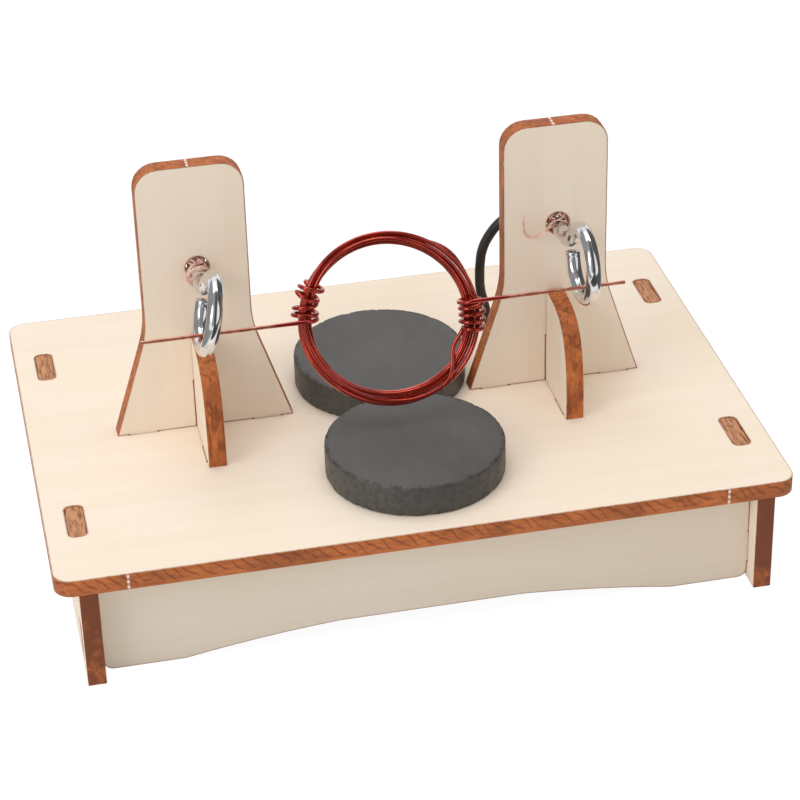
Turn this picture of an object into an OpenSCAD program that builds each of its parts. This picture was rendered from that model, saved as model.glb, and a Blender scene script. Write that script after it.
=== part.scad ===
// Demonstration electric motor: a plywood table carries two flared posts with screw eyes. A wound coil
// spins in the eyes over two disc magnets, and a cell under the table feeds the eyes through two leads.
// Millimetres. The origin is the centre of the footprint on the surface that the legs stand on,
// +X runs along the coil's axle, -Y is the front and +Z is up.

/* [Sheet] */
// Thickness of the plywood that every wooden piece is cut from
sheet_t = 3; // [2.5:0.1:4]
// Total play of a tenon or a half-lap in its slot
joint_play = 0.1; // [0.05:0.01:0.2]

/* [Table] */
// Length of the board along the axle
board_w = 122; // [116:1:150]
// Depth of the board from front to back
board_d = 85; // [80:1:110]
// Corner radius of the board
board_r = 3; // [1:0.5:8]
// Height of the board's underside over the surface below
leg_h = 17.5; // [17.4:0.1:30]
// Distance from a board end to the outer face of its leg
leg_inset = 3.7; // [2:0.1:8]
// Distance between the two tenons of one leg, centre to centre
leg_tenon_span = 51; // [40:1:60]
// Length of one leg tenon
leg_tenon_l = 9.2; // [5:0.1:12]
// Depth of the leg tenons' ends below the board's top face
tenon_recess = 0.2; // [0:0.05:0.5]
// Distance from the legs' front edge to the apron's face
apron_setback = 3.6; // [3:0.1:8]
// Height of the apron's tenons in the legs
apron_tenon_h = 6; // [4:0.5:8]
// Height of the apron tenons' middle over the surface below
apron_tenon_z = 6; // [5:0.5:9]
// Rise of the arch in the aprons' lower edge
arch_rise = 3.5; // [0.5:0.1:6]
// Width of the arch in the aprons' lower edge
arch_w = 82; // [60:1:100]
// Radius of the aprons' lower corners
apron_corner_r = 1.6; // [0.5:0.1:3]

/* [Posts] */
// Height of a post over the board
post_h = 49; // [44:0.5:60]
// Width of a post at its top
post_top_w = 18.1; // [15:0.1:22]
// Width of a post where it stands on the board
post_base_w = 30.4; // [28:0.1:31]
// Height at which the flared foot's straight edge would meet the post's side
flare_h = 19; // [14:0.5:24]
// Radius of the bend between a post's side and its flared foot
flare_r = 20; // [5:1:30]
// Radius of a post's top corners
post_top_r = 4; // [1:0.5:8]
// Distance from the table's middle to the middle of each post
post_x = 30.8; // [28:0.1:36]
// Depth position of the posts' middle plane
post_y = 0.25; // [-3:0.05:3]
// Height of a brace over the board
brace_h = 18; // [14:0.5:22]
// Length of a brace from front to back
brace_l = 30.5; // [28:0.5:36]
// Length of the level stretch on a brace's top
brace_flat_l = 4; // [3.5:0.5:10]
// How full a brace's rounded shoulders are, where 2 is a quarter of an ellipse
brace_fullness = 3.2; // [2:0.1:4]
// Length of each post tenon and brace tenon in the board
foot_tenon_l = 5; // [3:0.5:7]

/* [Screw eyes] */
// Height of the right eye's shank over the board
eye_h = 30.1; // [26:0.1:36]
// Diameter of the eye's wire
eye_wire_d = 2.5; // [2:0.1:2.6]
// Outer diameter of the eye's ring
eye_ring_d = 14.2; // [13:0.1:16]
// Diameter over the eye's thread
eye_thread_d = 2.7; // [2.5:0.1:2.8]
// Distance from the posts' front faces to the axle
eye_reach = 14.65; // [14:0.05:18]
// Length by which the left eye reaches further forward than the right one
eye_reach_step = 0.9; // [0:0.1:1]
// Distance of the eyes to the right of their posts' middles
eye_shift = 0.45; // [0:0.05:0.8]
// Length of the pointed end that stands out behind the post
eye_tip_l = 4; // [3:0.5:5]
// Radius of the bend between the shank and the ring
eye_neck_r = 1.6; // [1.4:0.1:2.5]
// Angle of the ring that is left open below the neck
eye_gap_deg = 18; // [16:1:40]
// Turn of the left eye about the vertical
left_eye_turn = -1.8; // [-3:0.1:3]
// Turn of the right eye about the vertical
right_eye_turn = 1.5; // [-3:0.1:3]
// Roll of the left eye about its shank, from the upright
left_eye_roll = 13; // [0:0.5:15]
// Diameter of the hole for the eye and the bared strands
eye_hole_d = 3.9; // [3.8:0.1:4.2]
// Play between the thread and the bottom of its hole
eye_play = 0.05; // [0.02:0.01:0.1]

/* [Magnets] */
// Diameter of a disc magnet
magnet_d = 30; // [25:0.5:31]
// Thickness of a disc magnet
magnet_t = 5.5; // [4:0.5:7]
// Gap between the rims of the two magnets
magnet_gap = 0.3; // [0.1:0.1:2]
// Position of the magnets' middle along the axle
magnet_x = 1.2; // [-1.2:0.1:1.2]
// Turn of the pair of magnets about the vertical
magnet_turn = -0.6; // [-3:0.1:3]
// Depth position of the point between the two magnets
magnet_y = -8.1; // [-10:0.1:-6]
// Chamfer on the magnets' rims
magnet_chamfer = 0.4; // [0.1:0.1:0.8]

/* [Coil] */
// Diameter of the enamelled wire
wire_d = 0.6; // [0.5:0.05:0.65]
// Inner diameter of the coil
coil_in_d = 25; // [20:0.1:26]
// Share by which the coil is out of round
coil_oval = 0.03; // [0:0.005:0.04]
// Direction of the coil's longest diameter, from the axle
coil_oval_deg = 140; // [0:5:175]
// Backward lean of the coil's plane at rest
coil_lean = 12; // [-20:1:30]
// Position of the coil's middle along the axle
coil_x = -0.9; // [-3:0.1:3]
// Drop of the coil's middle below the axle, in the coil's plane
coil_drop = 1.9; // [0.5:0.1:3]
// Whole loops of the coil, to which the half loop between the two ends is added
coil_loops = 5; // [3:1:5]
// Clear distance between neighbouring strands
strand_gap = 0.48; // [0.48:0.01:0.6]
// Turns of each binding round the bundle
binding_turns = 4; // [2:1:5]
// Distance from one binding turn to the next
binding_pitch = 1.35; // [1.2:0.05:1.5]
// Position of the left end of the axle
axle_left_x = -42; // [-46:0.5:-38]
// Position of the right end of the axle
axle_right_x = 38.8; // [37:0.1:44]
// Play between the axle and the rings that carry it
axle_play = 0.05; // [0.02:0.01:0.1]

/* [Cell and holder] */
// Diameter of the cell
cell_d = 14.2; // [13.8:0.1:14.3]
// Length of the cell over its button
cell_l = 50.5; // [49:0.5:51]
// Diameter of the cell's button
button_d = 5.5; // [4.5:0.1:6]
// Length of the cell's button
button_l = 1.2; // [1:0.1:1.6]
// Wall thickness of the holder
tray_wall = 1.2; // [1:0.1:1.4]
// Thickness of the holder's end walls
tray_end = 1.6; // [1.2:0.1:2]
// Height of the holder's long walls
tray_side_h = 11.6; // [9:0.1:12.5]
// Depth by which the cell stands out of the holder's end walls
tray_open = 1; // [0.5:0.1:3]
// Play between the cell and the holder
cell_play = 0.15; // [0.1:0.05:0.25]
// Thickness of the foam pad that sticks the holder to the board
pad_t = 0.8; // [0.5:0.1:1]
// Distance from the pad's edges to the holder's edges
pad_margin = 2.5; // [1:0.5:5]
// Depth position of the holder's middle
tray_y = 22; // [21:0.5:24]
// Height of the contact spring as the cell presses it
spring_h = 3.6; // [3:0.1:4.5]
// Wire diameter of the contact spring
spring_wire_d = 0.6; // [0.5:0.05:0.7]
// Turns of the contact spring
spring_turns = 2.5; // [1.5:0.5:3]
// Thickness of the contacts' metal strip
strip_t = 0.4; // [0.3:0.05:0.5]
// Width of the contacts' metal strip
strip_w = 6; // [4:0.5:8]
// Height of the contacts' metal strip
strip_h = 11.4; // [10:0.1:12]
// Depth of the contacts' tags below the top of the cell
tag_drop = 3; // [2:0.1:4]
// Width of the contacts' tags
tag_w = 3; // [2:0.1:3.5]
// Length by which a contact's tag stands out of the holder
tag_l = 2.6; // [2:0.1:3]

/* [Leads] */
// Outer diameter of a lead
lead_d = 1.7; // [1.2:0.1:1.8]
// Diameter of a lead's bared bundle of strands
strands_d = 0.5; // [0.4:0.05:0.55]
// Diameter of the holes that the leads pass through in the board
lead_hole_d = 2.4; // [2.2:0.1:3]
// Diameter of the solder that joins a lead to its tag
solder_d = 2.2; // [1.9:0.1:2.6]
// Length of solder on the tag, and again in front of it
solder_half_l = 0.8; // [0.5:0.1:1.2]

/* [Hidden] */

$fn = 64;
bite = 0.01;                       // overlap that makes a cut or a union clean

board_z = leg_h + sheet_t;         // the board's top face
slot_t = sheet_t + joint_play;     // width of a slot for the sheet
leg_x = board_w / 2 - leg_inset - sheet_t / 2;
apron_y = board_d / 2 - apron_setback - sheet_t / 2;
apron_l = 2 * leg_x - sheet_t;
post_front_y = post_y - sheet_t / 2;
lap_h = brace_h / 2;               // the post's slot takes the lower half, the brace's the upper
tenon_margin = 2;                  // from a foot tenon to the end of its foot
foot_tenon_off = brace_l / 2 - foot_tenon_l / 2 - tenon_margin;
post_tenon_off = post_base_w / 2 - foot_tenon_l / 2 - tenon_margin;

ring_r = (eye_ring_d - eye_wire_d) / 2;                      // to the middle of the ring's wire
right_eye_z = board_z + eye_h;
left_eye_z = right_eye_z - ring_r * (1 - cos(left_eye_roll));  // so that both rings carry the axle
eye_hole_rise = (eye_hole_d - eye_thread_d) / 2 - eye_play;    // of a hole's middle over its shank's
neck_y = sqrt(pow(ring_r, 2) + 2 * ring_r * eye_neck_r);     // where the shank's bend starts
neck_deg = atan2(eye_neck_r, neck_y);                        // where that bend meets the ring
neck_inset = 0.02;                 // the bend is that much slimmer all round, and its ends reach inside
neck_overlap_deg = 4;
thread_start = 3;                  // length of the plain shank in front of the thread
point_l = 2.5;
point_d = 0.4;

wire_r = wire_d / 2;
wire_corner_d = wire_d + 0.04;     // over the corners of the wire's six sides in the coil
ring_inner_r = eye_ring_d / 2 - eye_wire_d;
axle_y = post_front_y - eye_reach;
axle_z = right_eye_z - sqrt(pow(ring_inner_r - wire_r - axle_play, 2) - pow(eye_reach_step / 2, 2));

strand_pitch = wire_corner_d + strand_gap;                   // also the radius of the ring of six strands
coil_r = coil_in_d / 2 + wire_r + strand_pitch;              // to the middle of the bundle
binding_r = 2 * strand_pitch + 0.06;                         // to the middle of the binding's wire
across = [1, 0, 0];
upward = [0, sin(coil_lean), cos(coil_lean)];
forward = cross(across, upward);
coil_c = [coil_x, axle_y, axle_z] - coil_drop * upward - binding_r * forward;

tray_z = leg_h - pad_t;                                      // the holder's face towards the board
cell_z = tray_z - tray_wall - cell_play - cell_d / 2;
plate_dome_h = 0.5;                                          // height of the plus contact's bump
tray_in_l = cell_l + spring_h + 2 * strip_t + plate_dome_h;
tray_l = tray_in_l + 2 * tray_end;
tray_w = cell_d + 2 * cell_play + 2 * tray_wall;
tray_h = tray_wall + cell_play + cell_d - tray_open;
plate_x = -tray_in_l / 2;                                    // the plus contact's back
spring_x = tray_in_l / 2;                                    // the spring contact's back
tag_z = cell_z + cell_d / 2 - tag_drop;
tag_end_x = tray_l / 2 + tag_l;
lead_end_x = tag_end_x + solder_half_l;
solder_play = 0.04;

left_hole = [-25, 7];                                        // where the leads pass through the board
right_hole = [22, 9];

// The right lead shows beside its post, drops through the board and sags to the surface below
right_route = [
    [28.2, 3.4, 52.1], [25.1, 3.5, 51.8], [22.5, 3.6, 50.1], [20.6, 4.1, 47.5], [19.5, 4.6, 44.7],
    [19.2, 5.1, 41.9], [19.3, 6, 38.9], [19.6, 6.9, 36], [20.3, 7.8, 33], [21.1, 8.5, 29.8],
    [21.8, 8.9, 26.4], [22, 9, 23.2], [22, 9, 20.2], [22, 9, 17], [22.3, 8.6, 13.8], [23.3, 7.6, 10.8],
    [25.1, 6.2, 8.2], [27.5, 4.8, 6.3], [30.3, 3.9, 4.8], [33.3, 3.7, 3.5], [36.3, 4.4, 2.4],
    [39, 6.2, 1.5], [41, 8.7, 1], [42, 11.8, 1], [42.2, 15.1, 1.5], [41.9, 18.1, 2.9],
    [41.3, 20.5, 5.2], [40.3, 21.7, 8], [38.7, 22, 10.7], [36.5, 22, 12.2]
];
// The left lead runs down behind its post, out of sight, and under the board like the right one
left_route = [
    [-27.6, 3.4, 51.9], [-25.9, 3.8, 49.9], [-25.1, 4.2, 47], [-24.8, 4.6, 43.8], [-24.7, 5, 40.4],
    [-24.7, 5.4, 37], [-24.8, 5.8, 33.6], [-24.9, 6.2, 30.2], [-25, 6.6, 26.8], [-25, 6.9, 23.4],
    [-25, 7, 20.2], [-25, 7, 17], [-25.3, 6.7, 13.8], [-26.2, 5.9, 10.7], [-27.9, 4.9, 8],
    [-30.3, 4.1, 5.9], [-33.1, 3.8, 4.2], [-36, 4.2, 2.8], [-38.8, 5.5, 1.7], [-41, 7.8, 1.1],
    [-42.3, 10.8, 1], [-42.6, 14, 1.3], [-42.2, 17.2, 2.5], [-41.5, 19.9, 4.7], [-40.5, 21.5, 7.6],
    [-38.8, 22, 10.5], [-36.5, 22, 12.1]
];
// The bared strands come forward over the shank, wind round it and end in a loose curl
right_strands_route = [
    [30.2, 2.9, 52.45], [31, 2.4, 52.45], [31.25, 1.6, 52.45], [31.25, -1.3, 52.45],
    [31, -2.2, 52.45], [30, -2.7, 52.2], [29.3, -2.9, 51.7], [28.8, -2.8, 50.9],
    [28.2, -2.6, 50.1], [27, -2.4, 49.4], [25.8, -2.3, 49.9], [25.1, -2.3, 51.2],
    [24.9, -2.4, 52.6], [25.2, -2.5, 53.8]
];
left_strands_route = [
    [-29.4, 2.9, 52.25], [-30.1, 2.4, 52.3], [-30.35, 1.6, 52.3], [-30.35, -1.3, 52.3],
    [-30.6, -2.1, 52.3], [-31.6, -2.4, 51.9], [-32.2, -2.6, 50.8], [-32, -2.8, 49.5],
    [-30.9, -3, 48.6], [-29.5, -3.2, 48.7], [-28.5, -3.4, 49.7], [-28.4, -3.6, 51],
    [-29.1, -3.9, 52.1], [-30.2, -4.2, 52.4], [-31.4, -4.4, 52.1], [-32.2, -4.4, 51.3]
];

// ---- shapes that repeat ----

function unit(v) = v / norm(v);
function direction(path, i) = unit(path[min(i + 1, len(path) - 1)] - path[max(i - 1, 0)]);
function level(v, t) = unit(v - (v * t) * t);

// One sideways direction for each point of a path, carried along it without twist
function sideways(path) =
    let (t0 = direction(path, 0), start = abs(t0[2]) < 0.9 ? [0, 0, 1] : [0, 1, 0])
    [for (i = 0, v = level(start, t0); i < len(path); i = i + 1, v = level(v, direction(path, i))) v];

module tube(path, d, sides) {
    side = sideways(path);
    last = (len(path) - 1) * sides;
    points = [
        for (i = [0 : len(path) - 1])
            let (t = direction(path, i), u = side[i], v = cross(t, u))
            for (k = [0 : sides - 1])
                path[i] + d / 2 * (cos(360 * k / sides) * u + sin(360 * k / sides) * v)
    ];
    walls = [
        for (i = [0 : len(path) - 2], k = [0 : sides - 1])
            let (a = i * sides + k, b = i * sides + (k + 1) % sides)
            each [[a, a + sides, b + sides], [a, b + sides, b]]
    ];
    ends = [for (k = [1 : sides - 2]) each [[0, k, k + 1], [last, last + k + 1, last + k]]];
    polyhedron(points, concat(walls, ends));
}

// A sheet piece drawn flat in X and Y, stood up in the XZ plane with its middle at y
module stand_across(y) {
    translate([0, y + sheet_t / 2, 0]) rotate([90, 0, 0]) linear_extrude(sheet_t) children();
}

// A sheet piece drawn flat in X and Y, stood up in the YZ plane with its middle at x
module stand_along(x) {
    translate([x - sheet_t / 2, 0, 0]) rotate([90, 0, 90]) linear_extrude(sheet_t) children();
}

module centred_slot(x, y, w, d) {
    translate([x - w / 2, y - d / 2]) square([w, d]);
}

module rounded_rectangle(w, d, r) {
    square([w - 2 * r, d], center = true);
    square([w, d - 2 * r], center = true);
    for (x = [-1, 1], y = [-1, 1]) translate([x * (w / 2 - r), y * (d / 2 - r)]) circle(r);
}

// ---- plywood ----

module board() {
    play = joint_play;
    color("blanchedalmond") translate([0, 0, leg_h]) linear_extrude(sheet_t) difference() {
        rounded_rectangle(board_w, board_d, board_r);
        for (side = [-1, 1]) {
            for (end = [-1, 1]) {
                centred_slot(side * leg_x, end * leg_tenon_span / 2, slot_t, leg_tenon_l + play);
                centred_slot(side * post_x + end * post_tenon_off, post_y, foot_tenon_l + play, slot_t);
                centred_slot(side * post_x, post_y + end * foot_tenon_off, slot_t, foot_tenon_l + play);
            }
        }
        for (p = [left_hole, right_hole]) translate(p) circle(d = lead_hole_d);
    }
}

module leg(x) {
    color("blanchedalmond") stand_along(x) difference() {
        union() {
            translate([-board_d / 2, 0]) square([board_d, leg_h]);
            for (end = [-1, 1])
                centred_slot(end * leg_tenon_span / 2, leg_h + (sheet_t - tenon_recess) / 2 - bite / 2,
                             leg_tenon_l, sheet_t - tenon_recess + bite);
        }
        for (end = [-1, 1])
            centred_slot(end * apron_y, apron_tenon_z, slot_t, apron_tenon_h + joint_play);
    }
}

module apron(y) {
    arch_r = (pow(arch_w / 2, 2) + pow(arch_rise, 2)) / (2 * arch_rise);
    r = apron_corner_r;
    color("blanchedalmond") stand_across(y) {
        difference() {
            union() {
                translate([-apron_l / 2, r]) square([apron_l, leg_h - r]);
                translate([-apron_l / 2 + r, 0]) square([apron_l - 2 * r, r + bite]);
                for (side = [-1, 1]) translate([side * (apron_l / 2 - r), r]) circle(r);
            }
            translate([0, arch_rise - arch_r]) circle(arch_r, $fn = 128);
        }
        centred_slot(0, apron_tenon_z, apron_l + 2 * sheet_t, apron_tenon_h);
    }
}

// Half the outline of a post, from its foot up to the middle of its top
function post_side() =
    let (
        lean = atan((post_base_w - post_top_w) / 2 / flare_h),
        reach = flare_r * tan(lean / 2),
        side_z = flare_h + reach,
        r = post_top_r,
        steps = 6
    )
    concat(
        [[post_base_w / 2, 0]],
        [for (i = [steps : -1 : 0]) let (a = lean * i / steps)
            [post_top_w / 2 + flare_r * (1 - cos(a)), side_z - flare_r * sin(a)]],
        [for (i = [0 : steps]) let (a = 90 * i / steps)
            [post_top_w / 2 - r + r * cos(a), post_h - r + r * sin(a)]]
    );

module post(side) {
    x = side * post_x;
    hole_z = (side < 0 ? left_eye_z : right_eye_z) + eye_hole_rise;
    half = post_side();
    outline = concat(half, [for (i = [len(half) - 1 : -1 : 0]) [-half[i][0], half[i][1]]]);
    color("blanchedalmond") difference() {
        translate([x, 0, board_z]) stand_across(post_y) difference() {
            union() {
                polygon(outline);
                for (end = [-1, 1])
                    centred_slot(end * post_tenon_off, -sheet_t / 2 + bite / 2, foot_tenon_l, sheet_t + bite);
            }
            centred_slot(0, (lap_h - bite) / 2, slot_t, lap_h + bite);
        }
        translate([x + eye_shift, post_y, hole_z]) rotate([90, 0, 0])
            cylinder(d = eye_hole_d, h = sheet_t + 1, center = true);
    }
}

// Half the outline of a brace, from its foot up to the level stretch on its top
function brace_side() =
    let (round_l = (brace_l - brace_flat_l) / 2, steps = 16)
    [for (i = [0 : steps]) let (a = 90 * i / steps, full = 2 / brace_fullness)
        [brace_flat_l / 2 + round_l * pow(cos(a), full), brace_h * pow(sin(a), full)]];

module brace(x) {
    half = brace_side();
    outline = concat(half, [for (i = [len(half) - 1 : -1 : 0]) [-half[i][0], half[i][1]]]);
    color("peru") translate([0, post_y, board_z]) stand_along(x) difference() {
        union() {
            polygon(outline);
            for (end = [-1, 1])
                centred_slot(end * foot_tenon_off, -sheet_t / 2 + bite / 2, foot_tenon_l, sheet_t + bite);
        }
        centred_slot(0, brace_h - (lap_h - bite) / 2, slot_t, lap_h + bite);
    }
}

// ---- screw eyes and magnets ----

// An arc of round wire about the X axis, from start to end degrees, where 0 points to +Y and 90 to +Z
module wire_arc(r, d, start, end) {
    rotate([start, 0, 0]) rotate([0, 90, 0]) rotate([0, 0, 90])
        rotate_extrude(angle = end - start) translate([r, 0]) circle(d = d, $fn = 32);
}

module eye(side, z, turn, roll) {
    reach = eye_reach - side * eye_reach_step / 2;
    shank_l = reach - neck_y + sheet_t + eye_tip_l;
    color("silver") translate([side * post_x + eye_shift, post_y, z]) rotate([0, roll, turn])
    translate([0, -reach - sheet_t / 2, 0]) {
        wire_arc(ring_r, eye_wire_d, neck_deg, 360 - eye_gap_deg);
        translate([0, neck_y, eye_neck_r])
            wire_arc(eye_neck_r, eye_wire_d - 2 * neck_inset, 180 + neck_deg - neck_overlap_deg, 270);
        translate([0, neck_y - neck_inset, 0]) rotate([-90, 0, 0]) {
            cylinder(d = eye_wire_d, h = thread_start + bite, $fn = 32);
            translate([0, 0, thread_start])
                cylinder(d = eye_thread_d, h = shank_l - thread_start - point_l, $fn = 32);
            translate([0, 0, shank_l - point_l - bite])
                cylinder(d1 = eye_thread_d, d2 = point_d, h = point_l, $fn = 32);
        }
    }
}

module magnet(side) {
    r = magnet_d / 2;
    c = magnet_chamfer;
    color("dimgray") translate([magnet_x, magnet_y, board_z]) rotate([0, 0, magnet_turn])
        translate([0, side * (magnet_d + magnet_gap) / 2, 0]) rotate_extrude()
            polygon([[0, 0], [r - c, 0], [r, c], [r, magnet_t - c], [r - c, magnet_t], [0, magnet_t]]);
}

// ---- coil ----

function outward(a) = cos(a) * across + sin(a) * upward;
function loop_r(a) = coil_r * (1 + coil_oval * cos(2 * (a - coil_oval_deg)));

// A point at angle a round the loop, at distance r and angle p round the middle of the bundle
function at(a, r, p) = coil_c + (loop_r(a) + r * cos(p)) * outward(a) + r * sin(p) * forward;

// Angle of a place on the loop that lies h above the coil's middle, on the left or right side
function left_deg(h) = 180 - asin(h / loop_r(170));
function right_deg(h) = 360 + asin(h / loop_r(0));

// A strand moves on by one place of six in each loop, so that no two strands meet
function place(a) = 60 * a / 360;

loop_rings = 24;
binding_rings = 16;
mm_deg = 360 / (2 * PI * coil_r);  // angle round the loop for one millimetre
bend_l = 1.3;                      // length in which the wire turns from along the bundle to round it
bend_deg = 40;                     // and how far round the bundle it gets meanwhile
turn_r = (binding_r - strand_pitch) / 2;

// The left binding climbs round the bundle from the axle's end, turns over and dives into the first loop
left_bottom = left_deg(coil_drop);
left_bend = left_bottom - (binding_turns - 0.2) * binding_pitch * mm_deg;
left_top = left_bend - bend_l * mm_deg;
left_wind = 360 * (binding_turns - 1) + place(left_top) + 270 - bend_deg;
left_binding = [
    for (i = [0 : binding_turns * binding_rings])
        let (f = i / (binding_turns * binding_rings))
        at(left_bottom + (left_bend - left_bottom) * f, binding_r, 90 + left_wind * f)
];
left_turn = concat(
    [for (t = [30 : 30 : 90])
        at(left_bend - bend_l * mm_deg * (1 - cos(t)), binding_r, place(left_top) - bend_deg * (1 - sin(t)))],
    [for (t = [45 : 45 : 135])
        at(left_top - turn_r * mm_deg * sin(t), strand_pitch + turn_r * (1 + cos(t)), place(left_top))]
);

// The wire leaves the last loop on the right and climbs round the bundle to the other end of the axle
right_top = right_deg(coil_drop);
right_bend = right_top - (binding_turns - 0.2) * binding_pitch * mm_deg;
rise_top = right_bend - bend_l * mm_deg;
rise_l = 2;
rise_deg = rise_top - rise_l * mm_deg;
last_deg = rise_deg + 360 * coil_loops;
loops = [for (i = [0 : ceil((last_deg - left_top) * loop_rings / 360)])
    let (a = left_top + (last_deg - left_top) * i / ceil((last_deg - left_top) * loop_rings / 360))
    at(a, strand_pitch, place(a))];
right_rise = concat(
    [for (t = [60 : 60 : 180])
        at(rise_deg + rise_l * mm_deg * t / 180, strand_pitch + turn_r * (1 - cos(t)), place(last_deg))],
    [for (t = [30 : 30 : 60])
        at(rise_top + bend_l * mm_deg * sin(t), binding_r, place(last_deg) - bend_deg * (1 - cos(t)))]
);
right_wind = place(last_deg) - bend_deg - 90 + 360 * (binding_turns - 1);
right_binding = [
    for (i = [0 : binding_turns * binding_rings])
        let (f = i / (binding_turns * binding_rings))
        at(right_bend + (right_top - right_bend) * f, binding_r, 90 + right_wind * (1 - f))
];

straight_l = 2 * wire_d;
coil_left_x = left_binding[0][0] - straight_l;
coil_right_x = right_binding[len(right_binding) - 1][0] + straight_l;
coil_path = concat(
    [[coil_left_x, axle_y, axle_z]], left_binding, left_turn, loops, right_rise, right_binding,
    [[coil_right_x, axle_y, axle_z]]
);

// Least gap of the wire to itself: from each point to each stretch that lies over three points further on
function to_stretch(p, a, b) =
    let (t = max(0, min(1, (p - a) * (b - a) / ((b - a) * (b - a))))) norm(p - a - t * (b - a));
function least_gap(path, d) =
    let (last = len(path) - 1)
    min([
        for (i = [0 : last], j = [0 : last - 1])
            if (i - j > 4 || j - i > 3) to_stretch(path[i], path[j], path[j + 1])
    ]) - d;

module coil() {
    echo(least_gap_of_the_coil = least_gap(coil_path, wire_corner_d));
    color("firebrick") tube(coil_path, wire_corner_d, 6);
    color("peru") {
        axle_end(axle_left_x, coil_left_x + wire_d);
        axle_end(coil_right_x - wire_d, axle_right_x);
    }
}

module axle_end(x0, x1) {
    translate([x0, axle_y, axle_z]) rotate([0, 90, 0]) cylinder(d = wire_d, h = x1 - x0, $fn = 24);
}

// ---- cell and holder ----

module holder_pad() {
    l = tray_l - 2 * pad_margin;
    w = tray_w - 2 * pad_margin;
    color("white") translate([-l / 2, tray_y - w / 2, tray_z]) cube([l, w, pad_t]);
}

// The holder opens downwards, and its long walls are lower than its end walls
module holder() {
    in_w = tray_w - 2 * tray_wall;
    bottom_z = tray_z - tray_h;
    color("black") difference() {
        translate([-tray_l / 2, tray_y - tray_w / 2, bottom_z]) cube([tray_l, tray_w, tray_h]);
        translate([-tray_in_l / 2, tray_y - in_w / 2, bottom_z - 1])
            cube([tray_in_l, in_w, tray_h + 1 - tray_wall]);
        translate([-tray_in_l / 2, tray_y - tray_w / 2 - 1, bottom_z - 1])
            cube([tray_in_l, tray_w + 2, tray_h + 1 - tray_side_h]);
        for (end = [-1, 1])
            translate([end * (tray_l - tray_end) / 2, tray_y, tag_z])
                cube([tray_end + 1, tag_w + joint_play, strip_t + joint_play], center = true);
    }
}

// A strip of metal flat against an end wall, with a tag that passes out through the wall
module contact_strip(side) {
    top = tray_z - tray_wall - joint_play;
    wall_x = side * tray_in_l / 2;
    translate([wall_x - side * strip_t / 2, tray_y, top - strip_h / 2])
        cube([strip_t, strip_w, strip_h], center = true);
    translate([side * (tray_in_l / 2 + tag_end_x - strip_t / 2) / 2, tray_y, tag_z])
        cube([tag_end_x - tray_in_l / 2 + strip_t / 2, tag_w, strip_t], center = true);
}

module plate_contact() {
    color("lightgray") {
        contact_strip(-1);
        translate([plate_x + strip_t - bite, tray_y, cell_z]) rotate([0, 90, 0])
            cylinder(d1 = button_d, d2 = button_d - 2 * plate_dome_h, h = plate_dome_h + bite);
    }
}

// The spring stands on its strip with a straight end and narrows towards the cell
spring_foot_x = spring_x - strip_t + bite;
spring_big_r = 4.2;
spring_small_r = 2.4;
spring_rings = 8;                  // points in one turn
spring_rest = 0.05;                // play between the spring and the cell
spring_path = concat(
    [[spring_foot_x, tray_y, cell_z + spring_big_r]],
    [
        for (i = [0 : spring_rings * spring_turns])
            let (
                f = i / (spring_rings * spring_turns),
                a = 360 * i / spring_rings,
                r = spring_big_r - (spring_big_r - spring_small_r) * f,
                rise = spring_wire_d + (spring_h - 1.5 * spring_wire_d - spring_rest) * f
            )
            [spring_foot_x - rise, tray_y + r * sin(a), cell_z + r * cos(a)]
    ]
);

module spring_contact() {
    color("lightgray") {
        contact_strip(1);
        tube(spring_path, spring_wire_d, 6);
    }
}

// The cell lies with its button against the plus contact
module cell() {
    can_r = cell_d / 2;
    edge = 0.5;
    color("slategray") translate([plate_x + strip_t + plate_dome_h, tray_y, cell_z]) rotate([0, 90, 0])
        rotate_extrude() polygon([
            [0, 0], [button_d / 2, 0], [button_d / 2, button_l], [can_r - edge, button_l],
            [can_r, button_l + edge], [can_r, cell_l - edge], [can_r - edge, cell_l], [0, cell_l]
        ]);
}

// ---- leads ----

function lead_path(route, side) =
    concat(route, [[side * (lead_end_x + lead_d), tray_y, tag_z], [side * lead_end_x, tray_y, tag_z]]);

// The strands leave the lead's end straight, in its own direction
function strands_path(strands, lead) =
    concat([lead[0], lead[0] + 2 * strands_d * unit(lead[0] - lead[1])], strands);

module left_lead() {
    color("firebrick") tube(lead_path(left_route, -1), lead_d, 8);
}

module right_lead() {
    color("dimgray") tube(lead_path(right_route, 1), lead_d, 8);
}

module left_strands() {
    color("peru") tube(strands_path(left_strands_route, left_route), strands_d, 6);
}

module right_strands() {
    color("peru") tube(strands_path(right_strands_route, right_route), strands_d, 6);
}

module solder(side) {
    color("lightgray") difference() {
        translate([side * tag_end_x, tray_y, tag_z]) rotate([0, 90, 0])
            cylinder(d = solder_d, h = 2 * solder_half_l, center = true, $fn = 32);
        translate([side * (tag_end_x - 1), tray_y, tag_z])
            cube([2, tag_w + 1, strip_t + solder_play], center = true);
    }
}

// ---- the assembly ----

board();
leg(-leg_x);  // left_leg
leg(leg_x);  // right_leg
apron(-apron_y);  // front_apron
apron(apron_y);  // rear_apron
post(-1);  // left_post
post(1);  // right_post
brace(-post_x);  // left_brace
brace(post_x);  // right_brace
eye(-1, left_eye_z, left_eye_turn, left_eye_roll);  // left_eye
eye(1, right_eye_z, right_eye_turn, 0);  // right_eye
magnet(-1);  // front_magnet
magnet(1);  // rear_magnet
coil();
holder_pad();
holder();
plate_contact();
spring_contact();
cell();
left_lead();
right_lead();
left_strands();
right_strands();
solder(-1);  // left_solder
solder(1);  // right_solder
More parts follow.
